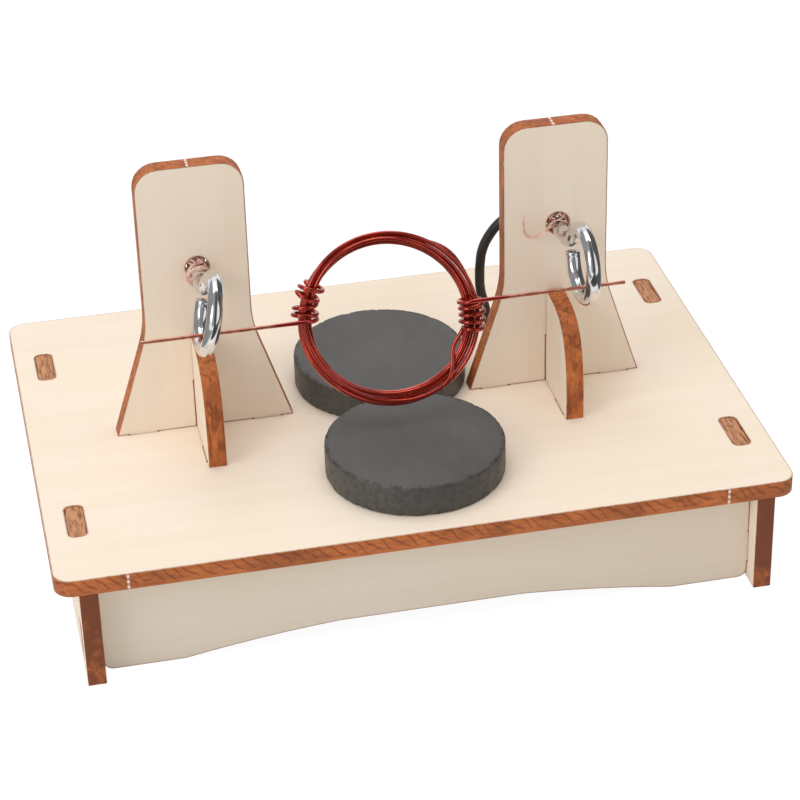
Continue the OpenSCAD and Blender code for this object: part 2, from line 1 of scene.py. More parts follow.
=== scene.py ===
# %% [markdown]
# # A demonstration motor from laser-cut plywood
# The real thing is a school kit: a small plywood table, two posts with screw eyes, two disc magnets and a
# coil that spins on its own wire ends. The CAD model gives every size and joint. This lesson dresses it.
# Each new piece lies exactly where its CAD solid lies, so nothing has to be fitted by eye.

# %% Start from the CAD model
import math

import bmesh
import bpy
from mathutils import Matrix, Vector, noise


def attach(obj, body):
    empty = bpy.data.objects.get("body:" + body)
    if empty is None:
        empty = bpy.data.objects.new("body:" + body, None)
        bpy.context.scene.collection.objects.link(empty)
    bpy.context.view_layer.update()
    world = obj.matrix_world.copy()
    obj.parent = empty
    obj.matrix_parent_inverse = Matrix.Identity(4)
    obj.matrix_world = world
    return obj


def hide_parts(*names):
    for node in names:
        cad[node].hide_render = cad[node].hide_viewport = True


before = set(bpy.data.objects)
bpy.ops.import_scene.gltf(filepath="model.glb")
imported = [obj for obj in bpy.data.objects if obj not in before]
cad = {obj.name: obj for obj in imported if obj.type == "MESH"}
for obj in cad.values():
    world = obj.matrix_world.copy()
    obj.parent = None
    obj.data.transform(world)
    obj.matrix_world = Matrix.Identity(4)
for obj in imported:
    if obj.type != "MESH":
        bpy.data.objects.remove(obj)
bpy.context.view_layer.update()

# %% [markdown]
# ## Millimetres
# A kit like this is thought of in millimetres and Blender works in metres. Every number below is in
# millimetres, or in degrees, and is turned into metres once, when a piece is finished. The colours are
# written as they should look, so the picture is shown with the plain Standard transform, which doesn't
# restyle them.

# %% One place for the scale
MM = 0.001


def spot(x, y, z):
    return Vector((x, y, z))


shown = bpy.context.scene.view_settings
shown.view_transform = "Standard"
print("1 unit of this script is", MM, "m; colours are shown as", shown.view_transform)

# %% [markdown]
# ## The camera
# A product photo is taken with a long lens from in front and above. The lens, the distance and the slight
# tilt were worked out from the corners of the table in the photo. A camera is an object whose own axes are
# the picture's right, its up and the way back to the photographer, so those three are its columns.

# %% Camera
def sin(deg):
    return math.sin(math.radians(deg))


def cos(deg):
    return math.cos(math.radians(deg))


def into_scene(thing):
    bpy.context.scene.collection.objects.link(thing)


azimuth = -11.37
elevation = 31.01
tilt = -1.60
aim = spot(1.952, -7.298, 24.066)
distance = 443.97

back = spot(sin(azimuth) * cos(elevation), -cos(azimuth) * cos(elevation), sin(elevation))
level = spot(cos(azimuth), sin(azimuth), 0)
upright = back.cross(level)
right = level * cos(tilt) + upright * sin(tilt)
up = upright * cos(tilt) - level * sin(tilt)

camera_data = bpy.data.cameras.new("photo camera")
camera_data.lens = 117.04
camera_data.sensor_width = 36
camera = bpy.data.objects.new("photo camera", camera_data)
axes = Matrix((right, up, back)).transposed().to_4x4()
camera.matrix_world = Matrix.Translation((aim + back * distance) * MM) @ axes
camera_data.clip_start = 0.01
camera_data.clip_end = 20
into_scene(camera)
bpy.context.scene.camera = camera
print("camera stands", round((camera.location - aim * MM).length, 3), "m from its aim")

# %% [markdown]
# ## Sums on shader sockets
# A procedural material is mostly arithmetic: a mask minus noise, times a strength. Wiring Math nodes by hand
# hides that. This small class wraps a socket, so that a plain Python expression adds the Math nodes itself.

# %% Amount and Paint
def both_ways(operation):
    """The two methods that Python wants for an operator, with the Amount on its left or on its right."""
    return (
        lambda self, other: self.sum(operation, self, other),
        lambda self, other: self.sum(operation, other, self),
    )


class Amount:
    """A shader socket that can stand in a Python sum."""

    __add__, __radd__ = both_ways("ADD")
    __sub__, __rsub__ = both_ways("SUBTRACT")
    __mul__, __rmul__ = both_ways("MULTIPLY")
    __truediv__, __rtruediv__ = both_ways("DIVIDE")

    def __init__(self, paint, socket):
        self.paint = paint
        self.socket = socket

    def sum(self, operation, first, second):
        return self.paint.node("Math", {"operation": operation}, {0: first, 1: second})

    def __abs__(self):
        return self.sum("ABSOLUTE", self, 0.0)

    def fraction(self):
        """What is left over the whole number, so a row of numbers becomes a row of equal steps."""
        return self.sum("FRACT", self, 0.0)

    def above(self, edge, blur):
        """0 below the edge and 1 above it, with a soft step that is blur wide."""
        limits = {1: edge - blur / 2, 2: edge + blur / 2}
        return self.paint.node("MapRange", {"interpolation_type": "SMOOTHSTEP"}, {0: self, **limits})


class Paint:
    """A material that is being mixed: its nodes and its finish."""

    def __init__(self, name):
        self.material = bpy.data.materials.new(name)
        self.material.use_nodes = True
        self.tree = self.material.node_tree
        self.tree.nodes.clear()
        self.point = self.place()

    def node(self, kind, settings, inputs, output=0):
        """Adds a node, sets it up, and gives one of its outputs."""
        made = self.tree.nodes.new("ShaderNode" + kind)
        for name, value in settings.items():
            setattr(made, name, value)
        for name, value in inputs.items():
            if isinstance(value, Amount):
                self.tree.links.new(value.socket, made.inputs[name])
            else:
                made.inputs[name].default_value = value
        return Amount(self, made.outputs[output])

    def place(self, scale=(1, 1, 1), shift=(0, 0, 0)):
        """The point on the piece in millimetres, stretched and moved for a pattern."""
        point = self.node("TexCoord", {}, {}, "Object")
        stretched = [s / MM for s in scale]
        return self.node("Mapping", {}, {"Vector": point, "Scale": stretched, "Location": shift})

    def part(self, axis):
        return self.node("SeparateXYZ", {}, {0: self.point}, axis.upper())

    def cloud(self, scale, detail, rough, bend=0.0, shift=(0, 0, 0)):
        """Noise at one scale, or stretched where the scale is three numbers."""
        sizes = {"Vector": self.point, "Scale": scale}
        if isinstance(scale, tuple):
            sizes = {"Vector": self.place(scale, shift), "Scale": 1.0}
        return self.node("TexNoise", {}, {**sizes, "Detail": detail, "Roughness": rough, "Distortion": bend})

    def grains(self, scale):
        return self.node("TexVoronoi", {"feature": "F1"}, {"Vector": self.point, "Scale": scale})

    def mix(self, share, first, second):
        return self.node("Mix", {"data_type": "RGBA"}, {0: share, 6: first, 7: second}, 2)

    def bump(self, height, depth_mm, strength):
        return self.node("Bump", {}, {"Height": height, "Distance": depth_mm * MM, "Strength": strength})

    def worn(self, name):
        return self.node("Attribute", {"attribute_name": name}, {}, "Fac")

    def finish(self, **inputs):
        """Closes the material with one Principled shader."""
        named = {name.replace("_", " "): value for name, value in inputs.items()}
        self.close(self.node("BsdfPrincipled", {}, named))
        return self.material

    def close(self, shader):
        out = self.tree.nodes.new("ShaderNodeOutputMaterial")
        self.tree.links.new(shader.socket, out.inputs["Surface"])


def tone(red, green, blue):
    """A colour as a picture editor gives it, 0 to 255, turned into light."""
    shares = [c / 255 for c in (red, green, blue)]
    return [s / 12.92 if s <= 0.04045 else ((s + 0.055) / 1.055) ** 2.4 for s in shares] + [1.0]


print("cream card reads", [round(c, 3) for c in tone(250, 236, 218)])

# %% [markdown]
# ## Putting a finished piece in its place
# Every piece ends the same way: it gets its finish, joins the scene, rides on the body that carries it and
# stands for the CAD solids under it. One helper does that, so that no step is forgotten.

# %% Dress one piece
def dress(piece, material, slot, *nodes, body="stand"):
    piece.data.materials.append(material)
    into_scene(piece)
    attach(piece, body)
    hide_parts(*nodes)
    return piece


def into_mesh(name, bm, sharp_deg=35):
    """Turns a bmesh in millimetres into an object in metres, smooth except at its sharp edges.

    A copy of a CAD mesh brings that mesh's own normals along, which no longer fit its new faces.
    """
    bmesh.ops.scale(bm, vec=(MM, MM, MM), verts=bm.verts)
    mesh = bpy.data.meshes.new(name)
    bm.to_mesh(mesh)
    bm.free()
    if "custom_normal" in mesh.attributes:
        mesh.attributes.remove(mesh.attributes["custom_normal"])
    mesh.shade_smooth()
    mesh.set_sharp_from_angle(angle=math.radians(sharp_deg))
    print(name, "has", len(mesh.polygons), "faces")
    return bpy.data.objects.new(name, mesh)


print("pieces ride on the stand, apart from the coil")

# %% [markdown]
# ## Smooth paths for wires
# The CAD model gives each wire as a chain of straight stretches. A real wire bends evenly. A Catmull-Rom
# curve runs through all the same points without a kink, so the wire keeps its place and gets its spring.

# %% Paths and wires
def smooth_path(points, steps=6):
    """More points on an even curve through the given ones."""
    ends = [points[0] * 2 - points[1]] + list(points) + [points[-1] * 2 - points[-2]]
    path = []
    for a, b, c, d in zip(ends, ends[1:], ends[2:], ends[3:]):
        for i in range(steps):
            t = i / steps
            path.append(
                0.5 * (2 * b + (c - a) * t + (2 * a - 5 * b + 4 * c - d) * t * t)
                + 0.5 * (3 * b - a - 3 * c + d) * t * t * t
            )
    path.append(points[-1].copy())
    return path


def length_of(path):
    return sum((b - a).length for a, b in zip(path, path[1:]))


def wire(name, paths, radius, sides, bezier=False, swell=None):
    """A curve object that gives each path a round section. It may swell where the wire is coated."""
    curve = bpy.data.curves.new(name, "CURVE")
    curve.dimensions = "3D"
    curve.bevel_depth = radius * MM
    curve.bevel_resolution = sides
    curve.use_fill_caps = True
    curve.resolution_u = 8
    for path in paths:
        spline = curve.splines.new("BEZIER" if bezier else "POLY")
        knots = spline.bezier_points if bezier else spline.points
        knots.add(len(path) - 1)
        for knot, point in zip(knots, path):
            if bezier:
                knot.co = point * MM
                knot.handle_left_type = "AUTO"
                knot.handle_right_type = "AUTO"
            else:
                knot.co = (*(point * MM), 1)
            knot.radius = swell(point) if swell else 1.0
        spline.use_smooth = True
    total = sum(length_of(path) for path in paths)
    print(name, "has", len(paths), "strand(s),", round(total, 1), "mm long")
    return bpy.data.objects.new(name, curve)


# %% [markdown]
# ## Insulated leads
# The leads are fine stranded hook-up wire in soft PVC. The photo shows the black one, which comes round
# behind the right post and drops through the board. PVC is matt with a slight sheen and picks up dust. The
# left lead is the other pole, so it is red. The curve is the simplest way to make an even round cord.

# %% PVC insulation
def insulation(name, colour, dusty):
    paint = Paint(name)
    dust = paint.cloud(0.35, 4.0, 0.6).above(0.55, 0.35)
    fine = paint.cloud(3.0, 3.0, 0.6)
    return paint.finish(
        Base_Color=paint.mix(dust * 0.35, colour, dusty),
        Roughness=0.38 + dust * 0.18,
        Normal=paint.bump(fine, 0.02, 0.35),
    )


black_pvc = insulation("black PVC", tone(38, 37, 33), tone(66, 62, 56))
red_pvc = insulation("red PVC", tone(150, 24, 18), tone(176, 58, 46))
print("insulation mixed")

# %% Lead routes, as in the CAD model
right_route = [
    (28.2, 3.4, 52.1), (25.1, 3.5, 51.8), (22.5, 3.6, 50.1), (20.6, 4.1, 47.5), (19.5, 4.6, 44.7),
    (19.2, 5.1, 41.9), (19.3, 6, 38.9), (19.6, 6.9, 36), (20.3, 7.8, 33), (21.1, 8.5, 29.8),
    (21.8, 8.9, 26.4), (22, 9, 23.2), (22, 9, 20.2), (22, 9, 17), (22.3, 8.6, 13.8), (23.3, 7.6, 10.8),
    (25.1, 6.2, 8.2), (27.5, 4.8, 6.3), (30.3, 3.9, 4.8), (33.3, 3.7, 3.5), (36.3, 4.4, 2.4),
    (39, 6.2, 1.5), (41, 8.7, 1), (42, 11.8, 1), (42.2, 15.1, 1.5), (41.9, 18.1, 2.9),
    (41.3, 20.5, 5.2), (40.3, 21.7, 8), (38.7, 22, 10.7), (36.5, 22, 12.2), (34.4, 22, 12.35),
    (32.7, 22, 12.35),
]
left_route = [
    (-27.6, 3.4, 51.9), (-25.9, 3.8, 49.9), (-25.1, 4.2, 47), (-24.8, 4.6, 43.8), (-24.7, 5, 40.4),
    (-24.7, 5.4, 37), (-24.8, 5.8, 33.6), (-24.9, 6.2, 30.2), (-25, 6.6, 26.8), (-25, 6.9, 23.4),
    (-25, 7, 20.2), (-25, 7, 17), (-25.3, 6.7, 13.8), (-26.2, 5.9, 10.7), (-27.9, 4.9, 8),
    (-30.3, 4.1, 5.9), (-33.1, 3.8, 4.2), (-36, 4.2, 2.8), (-38.8, 5.5, 1.7), (-41, 7.8, 1.1),
    (-42.3, 10.8, 1), (-42.6, 14, 1.3), (-42.2, 17.2, 2.5), (-41.5, 19.9, 4.7), (-40.5, 21.5, 7.6),
    (-38.8, 22, 10.5), (-36.5, 22, 12.1), (-34.4, 22, 12.35), (-32.7, 22, 12.35),
]
lead_d = 1.7
lead_kinds = (("right", right_route, "black", black_pvc), ("left", left_route, "red", red_pvc))

for name, route, colour, pvc in lead_kinds:
    lead = wire(name + "_lead_insulation", [[spot(*p) for p in route]], lead_d / 2, sides=6, bezier=True)
    dress(lead, pvc, colour + "_lead", name + "_lead")

# %% [markdown]
# ## Bared strands
# At the top each lead is stripped. Its fine copper strands are wedged in the eye's hole with the shank, and
# their loose ends curl out over the post. One fat wire would look like a nail, so each bundle is thirty-two
# thin strands that twist round the route of the CAD solid. In the hole they fan out and cross over the shank,
# as wedged strands do, and only some of them go on to the loose curl.

# %% Bare copper
paint = Paint("bare copper")
dull = paint.cloud(0.8, 4.0, 0.6)
scratches = paint.cloud((0.5, 6, 6), 3.0, 0.6)
tarnish = dull.above(0.5, 0.4)
copper = paint.finish(
    Base_Color=paint.mix(tarnish, tone(255, 230, 217), tone(232, 174, 150)),
    Metallic=0.55,
    Roughness=0.28 + scratches * 0.2,
    Normal=paint.bump(scratches, 0.02, 0.3),
)
print("copper mixed")

# %% Strands round a route
right_strands = [
    (30.2, 2.9, 52.45), (31, 2.4, 52.45), (31.25, 1.6, 52.45), (31.25, -1.3, 52.45),
    (31, -2.2, 52.45), (30, -2.7, 52.2), (29.3, -2.9, 51.7), (28.8, -2.8, 50.9),
    (28.2, -2.6, 50.1), (27, -2.4, 49.4), (25.8, -2.3, 49.9), (25.1, -2.3, 51.2),
    (24.9, -2.4, 52.6), (25.2, -2.5, 53.8),
]
left_strands = [
    (-29.4, 2.9, 52.25), (-30.1, 2.4, 52.3), (-30.35, 1.6, 52.3), (-30.35, -1.3, 52.3),
    (-30.6, -2.1, 52.3), (-31.6, -2.4, 51.9), (-32.2, -2.6, 50.8), (-32, -2.8, 49.5),
    (-30.9, -3, 48.6), (-29.5, -3.2, 48.7), (-28.5, -3.4, 49.7), (-28.4, -3.6, 51),
    (-29.1, -3.9, 52.1), (-30.2, -4.2, 52.4), (-31.4, -4.4, 52.1), (-32.2, -4.4, 51.3),
]
strand_r = 0.1
shanks = {"right": (31.25, 50.6), "left": (-30.35, 50.45)}
hole_r = 1.95
hole_lift = 0.65


def ease(t):
    t = max(0.0, min(1.0, t))
    return t * t * (3 - 2 * t)


def blend(a, b, t):
    return a + (b - a) * t


def frames_on(path):
    """Two directions across the path at each point, carried along it without twist."""
    side = None
    made = []
    for i, point in enumerate(path):
        ahead = (path[min(i + 1, len(path) - 1)] - path[max(i - 1, 0)]).normalized()
        if side is None:
            side = ahead.orthogonal()
        side = (side - ahead * side.dot(ahead)).normalized()
        made.append((point, side.copy(), ahead.cross(side)))
    return made


def bundle(lead, route, shank, ends, spread, turns):
    """Strands that twist round a route and fan out over the shank where they pass through the hole.

    The shank lies in the lower part of the hole, so the strands lie one over the other above it: from low,
    where they touch the shank, up to room, where they touch the wall.
    """
    low = 1.37
    start = spot(*lead[0])
    out = (start - spot(*lead[1])).normalized()
    points = [start - out * 0.4, start + out] + [spot(*p) for p in route]
    rails = frames_on(smooth_path(points))
    strands = []
    for k, share in enumerate(ends):
        path = []
        last = int(share * (len(rails) - 1))
        fan = math.radians(blend(-84, 84, (k * 0.618) % 1))
        room = hole_lift * math.cos(fan) + math.sqrt(hole_r**2 - (hole_lift * math.sin(fan)) ** 2) - 0.15
        height = blend(low, room, (k * 0.382 + 0.3) % 1)
        for i, (point, side, lift) in enumerate(rails[: last + 1]):
            along = i / (len(rails) - 1)
            angle = math.tau * (k / (len(ends) - 1) + turns * along) + 0.5 * math.sin(9 * along + 2 * k)
            reach = 0 if k == 0 else spread * (0.75 + 0.5 * along + 0.25 * math.sin(14 * along + 1.7 * k))
            free = point + side * reach * math.cos(angle) + lift * reach * math.sin(angle)
            crossing = fan + 0.22 * math.sin(1.1 * point.y + k)
            x = shank[0] + height * math.sin(crossing)
            z = shank[1] + height * math.cos(crossing)
            in_hole = ease(2.6 - abs(point.y - 0.2) / 1.15) if along < 0.55 else 0
            path.append(blend(free, spot(x, point.y, z), in_hole))
        strands.append(path)
    return strands


print("a strand is", strand_r * 2, "mm thick")

# %% Two bared ends
strand_ends = {
    "right": (
        1.0, 0.34, 0.4, 0.66, 0.32, 0.44, 0.96, 0.36, 0.3, 0.38, 0.35, 0.42, 0.33, 0.37, 0.31, 0.39,
        0.34, 0.3, 0.36, 0.32, 0.4, 0.35, 0.38, 0.31, 0.33, 0.3, 0.37, 0.32, 0.34, 0.31, 0.36, 0.33,
    ),
    "left": (
        1.0, 0.97, 0.9, 0.99, 0.86, 0.93, 0.8, 0.7, 0.62, 0.95, 0.55, 0.88, 0.45, 0.75, 0.5, 0.84,
        0.3, 0.34, 0.28, 0.36, 0.32, 0.4, 0.3, 0.38, 0.31, 0.35, 0.29, 0.33, 0.3, 0.36, 0.28, 0.34,
    ),
}
for name, lead, route in (("right", right_route, right_strands), ("left", left_route, left_strands)):
    paths = bundle(lead, route, shanks[name], strand_ends[name], spread=0.26, turns=3)
    strands = wire(name + "_copper_strands", paths, strand_r, sides=2)
    dress(strands, copper, "bare_copper", name + "_strands")

# %% [markdown]
# ## Solder
# Under the table each lead is soldered to the tag of the cell holder. Solder freezes as a smooth drop that
# is drawn out along the wire. A ball is squeezed to that shape and its surface is made a little uneven.

# %% Solder joints
def move(bm, by, verts=None):
    bmesh.ops.translate(bm, vec=by, verts=verts or bm.verts)


def face_outwards(bm):
    bmesh.ops.recalc_face_normals(bm, faces=bm.faces)


paint = Paint("solder")
frozen = paint.cloud(1.2, 4.0, 0.6)
grey = frozen.above(0.5, 0.4)
tin = paint.finish(
    Base_Color=paint.mix(grey, tone(206, 206, 202), tone(150, 150, 148)),
    Metallic=1.0,
    Roughness=0.22 + frozen * 0.25,
    Normal=paint.bump(frozen, 0.05, 0.4),
)
tag_end = spot(32.7, 22, 12.35)
sides = {"right": 1, "left": -1}
for name, side in sides.items():
    bm = bmesh.new()
    bmesh.ops.create_icosphere(bm, subdivisions=4, radius=1.0)
    for v in bm.verts:
        taper = 1 - 0.35 * max(0.0, v.co.x)
        lump = 1 + 0.07 * noise.noise(v.co * 1.7 + spot(side, 0, 0))
        v.co = spot(1.15 * v.co.x, 1.08 * taper * v.co.y * lump, 0.98 * taper * v.co.z * lump)
    bmesh.ops.scale(bm, vec=(side, 1, 1), verts=bm.verts)
    move(bm, spot(side * 32.0, tag_end.y, tag_end.z))
    face_outwards(bm)
    dress(into_mesh(name + "_solder_drop", bm), tin, "solder", name + "_solder")

# %% [markdown]
# ## Where the leads end
# Both leads go from a soldered tag back into the object, at the eye.

# %% [markdown]
# ## Plywood
# The sheet is pale birch ply, cut by a laser. Its faces stay cream with hardly any grain. The beam burns the
# cut edges orange-brown, leaves a thin dark line round each face, and marks the cut with slanting strokes.
# Where the piece was held in the sheet, a pale dotted nib is left. A tenon's end shows its end grain, and the
# wall of the small hole for an eye is painted pale, as painted light against the shade inside it. All of this
# depends on where a point is: on a face, on the rim or in the cut. So each piece carries a number, cut, which
# is 0 on a face, rises to 0.3 at its outline, is about a half on the broken arris and 1 in the cut. The paint
# reads it. A second number, depth, runs from -1 on one face of the sheet to 1 on the other.

# %% Mix the plywood
def plywood(
    name, along, through, char=0.2, nibs=(), shade=1.0, marks=0.75, holes=(), line=1.0, tenon_z=None
):
    """Birch ply whose grain runs along one axis and whose thickness is through another.

    char and marks say how dark the cut and its strokes are, line how strong the dark outline is, and shade
    how much painted shade greys the face: below 1 the face is mixed towards grey, as if it stood in shadow.
    nibs and holes are places in the cut, as (along, across); round each hole the cut is painted pale, as
    painted light against the shade inside it. Above tenon_z the cut shows end grain.
    """
    paint = Paint(name)
    across = ({"x", "y", "z"} - {along, through}).pop()
    cut = paint.worn("cut")
    depth = paint.worn("depth")

    def ordered(lengthwise, crosswise, inward):
        order = {along: lengthwise, across: crosswise, through: inward}
        return tuple(order[axis] for axis in "xyz")

    grain = paint.cloud(ordered(0.06, 1.5, 1.5), 5.0, 0.6, 0.3)
    streak = paint.cloud(ordered(0.02, 0.3, 0.3), 3.0, 0.5)
    patch = paint.cloud(0.03, 2.0, 0.5)
    pores = paint.cloud(ordered(0.4, 7.0, 7.0), 2.0, 0.5).above(0.72, 0.1)
    cream = paint.mix(patch.above(0.5, 0.5), tone(246, 233, 218), tone(244, 229, 210))
    veins = grain.above(0.56, 0.4) * 0.05 + streak.above(0.52, 0.4) * 0.06
    veined = paint.mix(veins, cream, tone(206, 172, 132))
    face = paint.mix(pores * 0.05, veined, tone(176, 134, 96))
    # Painted shade: a shade below 1 greys the face, as for the aprons, which stand in the shadow under the
    # board.
    face = paint.mix(1 - shade, face, tone(150, 150, 142))

    fibre = paint.cloud(ordered(0.5, 2.2, 2.2), 5.0, 0.65)
    scorch = paint.cloud(0.13, 4.0, 0.6, 0.4)
    brown = paint.mix(fibre.above(0.5, 0.5), tone(208, 122, 66), tone(178, 97, 48))
    burnt = paint.mix(scorch.above(0.55 - char * 0.25, 0.22) * (0.25 + char), brown, tone(92, 44, 22))
    run = paint.part(along) + paint.part(across)
    uneven = paint.cloud(ordered(0.25, 0.25, 0), 2.0, 0.5)
    rank = (run + depth * 1.6 + uneven * 5.0) / 2.1
    lens = 1 - abs(rank.fraction() - 0.5) * 2
    length = uneven.above(0.24, 0.3) * depth.above(-0.7, 0.9) * (1 - depth.above(0.93, 0.1))
    stroke = (lens * 0.75 + length * 0.45 + fibre * 0.35).above(1.19, 0.2)
    torn = paint.cloud(ordered(0.16, 0.8, 0.8), 6.0, 0.7, 0.8, shift=(3, 5, 7))
    burnt = paint.mix(torn.above(0.53, 0.12) * (0.85 - marks), burnt, tone(124, 62, 32))
    burnt = paint.mix(stroke * marks, burnt, tone(112, 56, 32))
    if tenon_z:
        tenon = paint.part("z").above(tenon_z, 0.6)
        lines = paint.cloud((3.2, 0.35, 1), 4.0, 0.7, 0.4)
        end_grain = paint.mix(lines.above(0.46, 0.24), tone(124, 70, 42), tone(200, 144, 104))
        burnt = paint.mix(tenon, burnt, end_grain)

    def far_from(centre):
        ends = {0: paint.place(ordered(1, 1, 0)), 1: ordered(*centre, 0)}
        return paint.node("VectorMath", {"operation": "DISTANCE"}, ends, 1)

    # Painted light: round each eye hole the burnt cut is painted pale, against the shade inside the hole.
    for hole in holes:
        burnt = paint.mix(1 - far_from(hole).above(2.4, 0.2), burnt, tone(222, 172, 134))
    for nib in nibs:
        gap = far_from(nib)
        dots = (abs((depth * 1.5 + 0.5).fraction() - 0.5)).above(0.2, 0.12)
        burnt = paint.mix((1 - gap.above(0.2, 0.1)) * (1 - dots * 0.7), burnt, tone(250, 238, 222))

    ragged = paint.cloud(1.3, 4.0, 0.7)
    inside = (cut + (ragged - 0.5) * 0.4).above(0.74 - line * 0.24, 0.1)
    outline = cut.above(0.22, 0.14) * (0.25 + ragged * 0.9) * line
    face = paint.mix(outline, face, tone(120, 74, 48))
    bumps = grain * 0.25 + cut.above(0.5, 0.2) * (fibre + stroke * -0.5)
    return paint.finish(
        Base_Color=paint.mix(inside, face, burnt),
        Roughness=0.6 - inside * 0.1 + grain * 0.06,
        Specular_IOR_Level=0.3,
        Normal=paint.bump(bumps, 0.05, 0.4),
    )


board_nibs = [(-49.4, -42.5), (49.3, -42.5)]
post_nibs = [(69.5, -30.8), (69.5, 30.4)]
eye_holes = [(z + hole_lift, x) for x, z in (shanks["left"], shanks["right"])]
board_ply = plywood("board plywood", "x", "z", char=0.08, nibs=board_nibs, marks=0.56, line=0.65)
# The aprons get painted shade: their faces are greyed, as they stand in the board's shadow.
apron_ply = plywood("apron plywood", "x", "y", shade=0.79)
# The posts' eye holes get that painted light on their walls.
post_ply = plywood("post plywood", "z", "y", char=0.15, nibs=post_nibs, marks=0.3, holes=eye_holes)
# The legs' char is high: their cut edges are darker, partly from a deeper burn and partly as painted shade
# under the board's overhang.
leg_ply = plywood("leg plywood", "z", "x", char=0.57, marks=0.35, tenon_z=18.8)
brace_ply = plywood("brace plywood", "z", "x", char=0.1, marks=0.12)
print("plywood mixed for board, aprons, posts, legs and braces")

# %% [markdown]
# ## From CAD solid to cut sheet
# A plywood piece could be drawn again, but its CAD solid already has the right outline, slots and tenons. The
# outline of the solid's upper face is all that is needed. It is filled and drawn out to the thickness of the
# sheet. Three insets that rise a little each round the arris, as sanding does, and one flat inset gives each
# face a narrow rim, whose outer edge the paint can scorch. The laser turns small corners with a radius, so
# the slots for the legs get rounded corners while the outline is still a line.

# %% Outline of a CAD sheet
def merged_copy(node):
    """A CAD solid's mesh in millimetres. Its triangles come loose, so they are joined first."""
    bm = bmesh.new()
    bm.from_mesh(cad[node].data)
    bmesh.ops.scale(bm, vec=(1 / MM, 1 / MM, 1 / MM), verts=bm.verts)
    bmesh.ops.remove_doubles(bm, verts=bm.verts, dist=0.002)
    return bm


def outline_of(node, axis):
    """The outline of a CAD sheet's upper face as loose edges, and where the sheet's two sides are."""
    bm = merged_copy(node)
    low = min(v.co[axis] for v in bm.verts)
    high = max(v.co[axis] for v in bm.verts)
    others = [f for f in bm.faces if min(v.co[axis] for v in f.verts) < high - 0.01]
    bmesh.ops.delete(bm, geom=others, context="FACES")
    inner = [e for e in bm.edges if len(e.link_faces) == 2]
    bmesh.ops.delete(bm, geom=list(bm.faces), context="FACES_ONLY")
    bmesh.ops.delete(bm, geom=inner, context="EDGES")
    return bm, low, high


print("the board's outline has", len(outline_of("board", 2)[0].edges), "edges")

# %% Sheet pieces
arris = 0.12
rim = 0.3
flat_face = 0.999
cut_at = {"rim": 0.3, "arris": 0.55, "cut": 1.0}


def verts_of(geometry):
    return [g for g in geometry if isinstance(g, bmesh.types.BMVert)]


def round_off(bm, geom, width, segments, affect="EDGES"):
    bmesh.ops.bevel(
        bm, geom=geom, offset=width, segments=segments, profile=0.5, affect=affect, material=-1
    )


def corner_of_leg_slot(vert):
    slot_x = 55.8
    slot_y = 25.5
    x, y = vert.co.xy
    return abs(abs(x) - slot_x) < 1.7 and abs(abs(y) - slot_y) < 5


def cut_sheet(node, axis):
    """A sheet with rounded arrises, a rim round its faces, and the numbers cut and depth."""
    bm, low, high = outline_of(node, axis)
    cut = bm.loops.layers.float.new("cut")
    depth = bm.verts.layers.float.new("depth")
    if node == "board":
        corners = [v for v in bm.verts if corner_of_leg_slot(v)]
        round_off(bm, corners, width=1.1, segments=6, affect="VERTICES")
    bmesh.ops.triangle_fill(bm, edges=list(bm.edges), use_beauty=True, use_dissolve=False)
    away = spot(0, 0, 0)
    away[axis] = -arris
    move(bm, away)
    made = bmesh.ops.extrude_face_region(bm, geom=list(bm.faces))["geom"]
    away[axis] = -(high - low - 2 * arris)
    move(bm, away, verts_of(made))
    face_outwards(bm)
    bm.normal_update()
    flat = [f for f in bm.faces if abs(f.normal[axis]) > flat_face]
    inset = {"faces": flat, "use_even_offset": True, "use_boundary": True}
    for width, rise in ((0.134, 0.5), (0.366, 0.366), (0.5, 0.134)):
        bmesh.ops.inset_region(bm, thickness=width * arris, depth=rise * arris, **inset)
    bmesh.ops.inset_region(bm, thickness=rim, depth=0, **inset)
    bm.normal_update()
    inside = {v for f in flat for v in f.verts}
    for f in bm.faces:
        facing = abs(f.normal[axis])
        for loop in f.loops:
            if facing > flat_face:
                loop[cut] = 0.0 if loop.vert in inside else cut_at["rim"]
            else:
                loop[cut] = cut_at["cut"] if facing < 0.6 else cut_at["arris"]
    for v in bm.verts:
        v[depth] = (v.co[axis] - (low + high) / 2) / ((high - low) / 2)
    open_edges = sum(1 for e in bm.edges if len(e.link_faces) != 2)
    print(node, "sheet from", round(low, 2), "to", round(high, 2), "with", open_edges, "open edges")
    return bm


sheets = (
    (2, board_ply, ["board"]),
    (0, leg_ply, ["left_leg", "right_leg"]),
    (1, apron_ply, ["front_apron", "rear_apron"]),
    (1, post_ply, ["left_post", "right_post"]),
    (0, brace_ply, ["left_brace", "right_brace"]),
)
for axis, ply, nodes in sheets:
    for node in nodes:
        dress(into_mesh(node + "_ply", cut_sheet(node, axis)), ply, "plywood", node)

# %% [markdown]
# ## Screw eyes
# A screw eye is one steel wire, bent to a ring with an open end, then straightened into a shank with a rolled
# thread, and plated. The bending is what spin does: a disc is turned round the ring's middle, then the other
# way round the neck's middle, and drawn out straight. The thread is a small saw-tooth that is spun round
# the shank while it moves on by one pitch in each turn.

# %% Bright plating
paint = Paint("bright plating")
drawn = paint.cloud(0.55, 2.0, 0.5)
specks = paint.cloud(6.0, 3.0, 0.6)
grey = paint.mix(drawn.above(0.5, 0.5), tone(232, 232, 233), tone(214, 215, 217))
chrome = paint.finish(
    Base_Color=paint.mix(specks.above(0.68, 0.1) * 0.3, grey, tone(150, 146, 142)),
    Metallic=1.0,
    Roughness=0.1 + specks * 0.06,
    Normal=paint.bump(drawn, 0.03, 0.2),
)
print("plating mixed")

